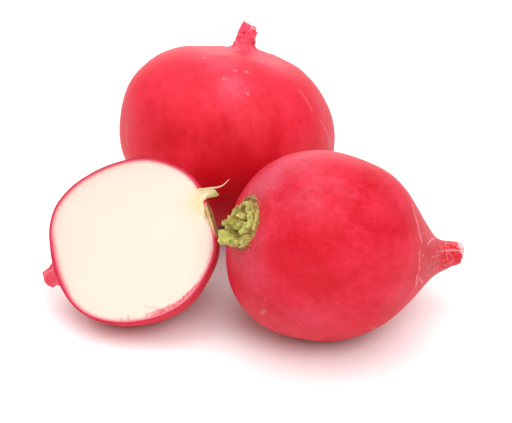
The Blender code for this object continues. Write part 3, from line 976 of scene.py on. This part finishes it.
class Nodes:
    """Builds the nodes of a material or of the world round the shader that it has."""

    def __init__(self, owner, shader="Principled BSDF"):
        owner.use_nodes = True
        self.owner = owner
        self.tree = owner.node_tree
        self.shader = self.tree.nodes[shader]

    def add(self, kind, settings=None, **inputs):
        node = self.tree.nodes.new(kind)
        for name, value in (settings or {}).items():
            setattr(node, name, value)
        for name, value in inputs.items():
            self.feed(node.inputs[name.replace("_", " ")], value)
        return node

    def feed(self, socket, value):
        """A link if the value is a socket, and else a number, a direction or a colour."""
        if isinstance(value, bpy.types.NodeSocket):
            self.tree.links.new(value, socket)
        elif socket.type == "RGBA":
            socket.default_value = (*value, 1.0)
        else:
            socket.default_value = value

    def math(self, operation, *values, kind="ShaderNodeMath"):
        node = self.add(kind, {"operation": operation})
        for socket, value in zip(node.inputs, values):
            self.feed(socket, value)
        return node.outputs["Value"]

    def times(self, one, two):
        return self.math("MULTIPLY", one, two)

    def mask(self, name, most=1.0):
        """A mask of the mesh, times the most that it may be."""
        mask = self.add("ShaderNodeAttribute", {"attribute_name": name}).outputs["Fac"]
        return mask if most == 1.0 else self.times(mask, most)

    def place(self, kind="Object"):
        return self.add("ShaderNodeTexCoord").outputs[kind]

    def grain(self, stretch=(1.0, 1.0, 1.0)):
        """The point's place in its root's own frame, scaled along each axis."""
        place = self.add("ShaderNodeAttribute", {"attribute_name": "grain"}).outputs["Vector"]
        return self.add("ShaderNodeMapping", Vector=place, Scale=stretch).outputs["Vector"]

    def noise(self, vector, scale, detail=3.0, roughness=0.55):
        return self.add(
            "ShaderNodeTexNoise", Vector=vector, Scale=scale, Detail=detail, Roughness=roughness
        ).outputs["Fac"]

    def ramp(self, value, low, high, least=0.0, most=1.0):
        """The value stretched so that low gives the least and high gives the most."""
        return self.add(
            "ShaderNodeMapRange", Value=value, From_Min=low, From_Max=high, To_Min=least, To_Max=most
        ).outputs["Result"]

    def mix(self, share, one, two):
        node = self.add("ShaderNodeMix", {"data_type": "RGBA"}, Factor=share)
        self.feed(node.inputs[6], one)
        self.feed(node.inputs[7], two)
        return node.outputs[2]

    def layers(self, colour, *coats):
        """The colour under coats of other ones: (how much of the coat shows, its colour)."""
        for share, coat in coats:
            colour = self.mix(share, colour, coat)
        return colour

    def bump(self, height, strength, distance, under=None):
        node = self.add("ShaderNodeBump", Height=height, Strength=strength, Distance=distance)
        if under is not None:
            self.feed(node.inputs["Normal"], under)
        return node.outputs["Normal"]

    def set(self, **inputs):
        for name, value in inputs.items():
            self.feed(self.shader.inputs[name.replace("_", " ")], value)
        return self.owner


def skin_paint():
    """Red radish skin: mottled, faintly streaked, waxy, with pale scratches and a frayed pale end, a
    painted highlight in dusty pink patches and painted shade in deeper red ones.
    """
    n = Nodes(bpy.data.materials.new("radish_skin"))
    plain = n.grain()
    clouds = n.noise(plain, 2.6, 4.0, 0.6)
    mottle = n.noise(plain, 11.0, 5.0, 0.65)
    streaks = n.noise(n.grain((1.0, 1.0, 0.16)), 24.0, 4.0, 0.65)
    specks = n.noise(plain, 85.0, 2.0, 0.5)
    dust_and_sheen = n.ramp(n.noise(plain, 34.0, 4.0, 0.7), 0.15, 0.75)
    netted = n.ramp(n.noise(plain, 30.0, 3.0, 0.65), 0.50, 0.62, most=0.05)
    cells = n.add("ShaderNodeTexVoronoi", {"feature": "DISTANCE_TO_EDGE"}, Vector=plain, Scale=15.0)
    broken = n.ramp(n.noise(plain, 9.0, 2.0), 0.44, 0.56)
    lines = n.times(n.ramp(cells.outputs["Distance"], 0.05, 0.015, most=0.45), broken)
    cork = n.mix(n.ramp(mottle, 0.35, 0.65), (0.34, 0.21, 0.08), (0.50, 0.33, 0.15))
    frayed = n.ramp(n.noise(plain, 50.0, 3.0), 0.40, 0.60)
    colour = n.layers(
        n.mix(n.ramp(clouds, 0.34, 0.66), (0.60, 0.007, 0.020), (0.71, 0.020, 0.048)),
        (n.mask("fresh"), (0.84, 0.030, 0.058)),
        (n.ramp(mottle, 0.52, 0.78, most=0.50), (0.75, 0.048, 0.085)),
        (n.ramp(mottle, 0.46, 0.24, most=0.45), (0.52, 0.004, 0.013)),
        (n.ramp(streaks, 0.54, 0.80, most=0.35), (0.76, 0.065, 0.11)),
        # deeper red, which is painted shade low on the back radish between the roots
        (n.mask("deep_red_and_shade", 0.90), (0.55, 0.003, 0.008)),
        # dusty pink bloom, partly a painted highlight on the back radish's upper side
        (n.times(dust_and_sheen, n.mask("bloom_and_highlight")), (0.68, 0.125, 0.200)),
        (n.ramp(specks, 0.66, 0.80, most=0.22), (0.78, 0.17, 0.20)),
        (n.times(n.mask("lined"), netted), (0.76, 0.12, 0.13)),
        (n.mask("knobbly", 0.85), (0.90, 0.085, 0.150)),
        (n.times(n.mask("lined"), lines), (0.84, 0.38, 0.38)),
        (n.times(n.mask("crown"), n.ramp(streaks, 0.42, 0.66, most=0.55)), (0.36, 0.085, 0.05)),
        (n.mask("tan"), cork),
        (n.mask("dark"), (0.32, 0.010, 0.020)),
        (n.mask("pale", 0.95), (0.84, 0.38, 0.38)),
        (n.mask("cut_end"), n.mix(frayed, (0.76, 0.20, 0.26), (0.86, 0.62, 0.62))),
    )
    normal = n.bump(n.noise(plain, 10.0, 6.0, 0.6), 0.30, 0.00014)
    normal = n.bump(n.noise(plain, 70.0, 3.0, 0.6), 0.30, 0.00003, normal)
    gloss = n.ramp(mottle, 0.2, 0.8, 0.40, 0.54)
    return n.set(Base_Color=colour, Roughness=gloss, Normal=normal, Specular_IOR_Level=0.13)


def rim_paint():
    """The cut edge of the skin: magenta red outside, pink towards the flesh, tan at the crown."""
    n = Nodes(bpy.data.materials.new("radish_skin_edge"))
    place = n.grain()
    patches = n.ramp(n.noise(place, 22.0, 3.0), 0.35, 0.65)
    out = n.mask("rim")
    colour = n.layers(
        n.mix(n.ramp(out, -0.05, 0.48), (0.76, 0.32, 0.33), (0.62, 0.040, 0.085)),
        (n.times(n.ramp(out, 0.5, 0.95), n.ramp(patches, -0.6, 1.0)), (0.40, 0.008, 0.030)),
        (n.mask("tan"), n.mix(patches, (0.50, 0.34, 0.13), (0.60, 0.44, 0.21))),
    )
    normal = n.bump(n.noise(place, 40.0, 3.0, 0.6), 0.3, 0.00004)
    return n.set(Base_Color=colour, Roughness=0.50, Normal=normal, Specular_IOR_Level=0.15)


def flesh_paint():
    """Moist creamy flesh: faint fibres, a pink blush along the skin, tan and green at the crown, olive
    with painted shade in the hollows of the split stalk.
    """
    n = Nodes(bpy.data.materials.new("radish_flesh"))
    place = n.grain()
    clouds = n.ramp(n.noise(place, 2.6, 3.0), 0.35, 0.65)
    fibres = n.noise(n.grain((1.0, 1.0, 0.22)), 60.0, 3.0)
    uneven = n.ramp(n.noise(place, 18.0, 3.0), 0.35, 0.65, most=0.25)
    edge = n.math("ADD", n.mask("edge"), uneven)
    glow = n.mask("glow")
    strips = n.ramp(n.noise(place, 34.0, 3.0, 0.6), 0.38, 0.62)
    cork = n.ramp(n.noise(place, 24.0, 4.0), 0.35, 0.65)
    colour = n.layers(
        n.mix(clouds, (0.80, 0.690, 0.585), (0.795, 0.672, 0.555)),
        (n.ramp(fibres, 0.55, 0.75, most=0.25), (0.78, 0.655, 0.535)),
        (n.mask("blush", 0.85), (0.80, 0.615, 0.530)),
        (n.times(n.ramp(edge, 1.9, 0.0, most=0.50), glow), (0.80, 0.46, 0.40)),
        (n.times(n.ramp(edge, 0.75, 0.05, most=0.90), n.ramp(glow, -0.7, 1.0)), (0.76, 0.22, 0.23)),
        (n.mask("nick"), (0.78, 0.26, 0.28)),
        (n.mask("torn"), n.mix(strips, (0.66, 0.055, 0.105), (0.80, 0.30, 0.32))),
        (n.mask("green"), (0.72, 0.62, 0.30)),
        (n.mask("tan"), n.mix(cork, (0.47, 0.34, 0.14), (0.62, 0.49, 0.26))),
        # olive on the split stalk, partly painted shade in its hollows
        (n.mask("olive"), (0.34, 0.28, 0.06)),
    )
    normal = n.bump(n.noise(place, 40.0, 4.0, 0.6), 0.30, 0.00004)
    return n.set(
        Base_Color=colour, Roughness=0.42, Normal=normal, Subsurface_Weight=0.18,
        Subsurface_Radius=(1.0, 0.55, 0.35), Subsurface_Scale=0.0012,
    )


def stalk_paint():
    """Cut leaf stalks: olive to light green, tan and brown, with dark brown painted shade in the
    hollows, painted highlights as light green flecks, and pale moist cut ends.
    """
    n = Nodes(bpy.data.materials.new("cut_stalk"))
    place = n.place()
    patches = n.ramp(n.noise(place, 900.0, 4.0, 0.6), 0.38, 0.64)
    # Flecks of light green that stand for painted highlights
    fine = n.ramp(n.noise(place, 2600.0, 3.0, 0.6), 0.35, 0.65, most=0.50)
    tone = n.mask("tone")
    colour = n.layers(
        n.mix(patches, (0.30, 0.11, 0.045), (0.58, 0.36, 0.13)),
        (tone, n.mix(patches, (0.36, 0.31, 0.045), (0.54, 0.52, 0.115))),
        # painted highlights: light green flecks over the green stalks
        (n.times(fine, tone), (0.66, 0.66, 0.20)),
        (n.times(n.mask("low", 0.6), patches), (0.34, 0.12, 0.055)),
        (n.mask("heart", 0.6), (0.66, 0.64, 0.22)),
        # painted shade: dark brown in the hollows between the knobs
        (n.ramp(n.mask("crevice"), 0.15, 0.95), (0.095, 0.055, 0.008)),
    )
    normal = n.bump(n.noise(place, 1800.0, 4.0, 0.6), 0.35, 0.00006)
    return n.set(Base_Color=colour, Roughness=0.55, Normal=normal, Specular_IOR_Level=0.3)


def hair_paint():
    """Fine root hairs and the hairs of the crown: pale, with a little pink."""
    n = Nodes(bpy.data.materials.new("root_hair"))
    colour = n.layers(
        n.mix(n.mask("tone"), (0.62, 0.16, 0.16), (0.66, 0.50, 0.30)),
        (n.ramp(n.noise(n.place(), 1500.0, 2.0), 0.35, 0.65, most=0.5), (0.80, 0.52, 0.42)),
    )
    return n.set(Base_Color=colour, Roughness=0.6)


def floor_paint():
    """A plain white table with a very fine, dull surface."""
    n = Nodes(bpy.data.materials.new("table"))
    clouds = n.noise(n.place(), 14.0, 3.0)
    colour = n.mix(clouds, (0.935, 0.935, 0.935), (0.965, 0.965, 0.960))
    normal = n.bump(n.noise(n.place(), 900.0, 3.0), 0.1, 0.00002)
    dull = n.ramp(clouds, 0.0, 1.0, 0.60, 0.70)
    return n.set(Base_Color=colour, Roughness=dull, Normal=normal, Specular_IOR_Level=0.15)


# Stage


# Softboxes: (name, place, power), all of this width and turned to this point
SOFTBOXES = [
    ("softbox_by_camera", (0.16, -0.40, 0.45), 1.95), ("softbox_left", (-0.42, -0.02, 0.36), 0.65),
]
SOFTBOX_WIDTH = 0.40
SOFTBOX_TARGET = (0.0, 0.0, 0.01)

# Soft light of the white studio: (direction, how narrow it is, strength). One comes from above
# and one low from behind the bunch. The rest of the walls is this bright.
SKY_LIGHTS = [((0.0, 0.0, 1.0), 6.0, 3.1), ((0.0, 0.99, 0.14), 8.0, 3.0)]
SKY_WALLS = 0.12


def add_floor():
    """The table, 6 m wide."""
    corners = [(-3.0, -3.0, 0.0), (3.0, -3.0, 0.0), (3.0, 3.0, 0.0), (-3.0, 3.0, 0.0)]
    mesh = bpy.data.meshes.new("table")
    mesh.from_pydata(corners, [], [(0, 1, 2, 3)])
    mesh.materials.append(floor_paint())
    table = bpy.data.objects.new("table", mesh)
    bpy.context.scene.collection.objects.link(table)


def add_softbox(name, place, power):
    """A square soft light."""
    data = bpy.data.lights.new(name, "AREA")
    data.size = SOFTBOX_WIDTH
    data.energy = power
    light = bpy.data.objects.new(name, data)
    bpy.context.scene.collection.objects.link(light)
    light.location = place
    light.rotation_euler = (Vector(place) - Vector(SOFTBOX_TARGET)).to_track_quat("Z", "Y").to_euler()



def add_sky():
    """The studio's white walls and ceiling, as soft lobes of light round their directions."""
    n = Nodes(bpy.data.worlds.new("studio"), "Background")
    place = n.place("Generated")
    total = SKY_WALLS
    for way, narrow, strength in SKY_LIGHTS:
        facing = n.math("DOT_PRODUCT", place, way, kind="ShaderNodeVectorMath")
        lobe = n.math("POWER", n.math("MAXIMUM", facing, 0.0), narrow)
        total = n.math("MULTIPLY_ADD", lobe, strength, total)
    bpy.context.scene.world = n.set(Color=(1.0, 1.0, 1.0), Strength=total)


def add_camera():
    """The camera, at the photograph's height and distance."""
    data = bpy.data.cameras.new("camera")
    data.lens = CAMERA_LENS
    data.clip_start = 0.01
    camera = bpy.data.objects.new("camera", data)
    bpy.context.scene.collection.objects.link(camera)
    height = math.radians(CAMERA_HEIGHT)
    back = Vector((0.0, -math.cos(height), math.sin(height)))
    camera.location = Vector(LOOK_AT) + back * CAMERA_DISTANCE
    camera.rotation_euler = (math.pi / 2 - height, 0.0, 0.0)
    bpy.context.scene.camera = camera


def main():
    paints = {
        "skin": skin_paint(), "rim": rim_paint(), "flesh": flesh_paint(),
        "stalk": stalk_paint(), "hair": hair_paint(),
    }
    add_whole_root(FRONT, FRONT_MARKS, FRONT_END, paints["skin"])
    add_whole_root(BACK, BACK_MARKS, BACK_END, paints["skin"])
    add_halved_root(HALF, HALF_MARKS, HALF_END, paints)
    add_tuft(FRONT, FRONT_STALKS + FRONT_SCALES, paints, size=0.27, hairs=150)
    add_tuft(BACK, BACK_STALKS, paints, size=0.24, hairs=60)
    add_split_crown(HALF, paints)
    add_root_hairs(BACK, BACK_HAIRS, BACK_HAIR_POINTS, BACK_HAIR_DRIFT, 0.10 * MM, paints["hair"])
    add_root_hairs(HALF, HALF_HAIRS, HALF_HAIR_POINTS, HALF_HAIR_DRIFT, 0.09 * MM, paints["hair"])
    add_floor()
    add_sky()
    for softbox in SOFTBOXES:
        add_softbox(*softbox)
    add_camera()
    bpy.context.scene.view_settings.view_transform = "Standard"


main()
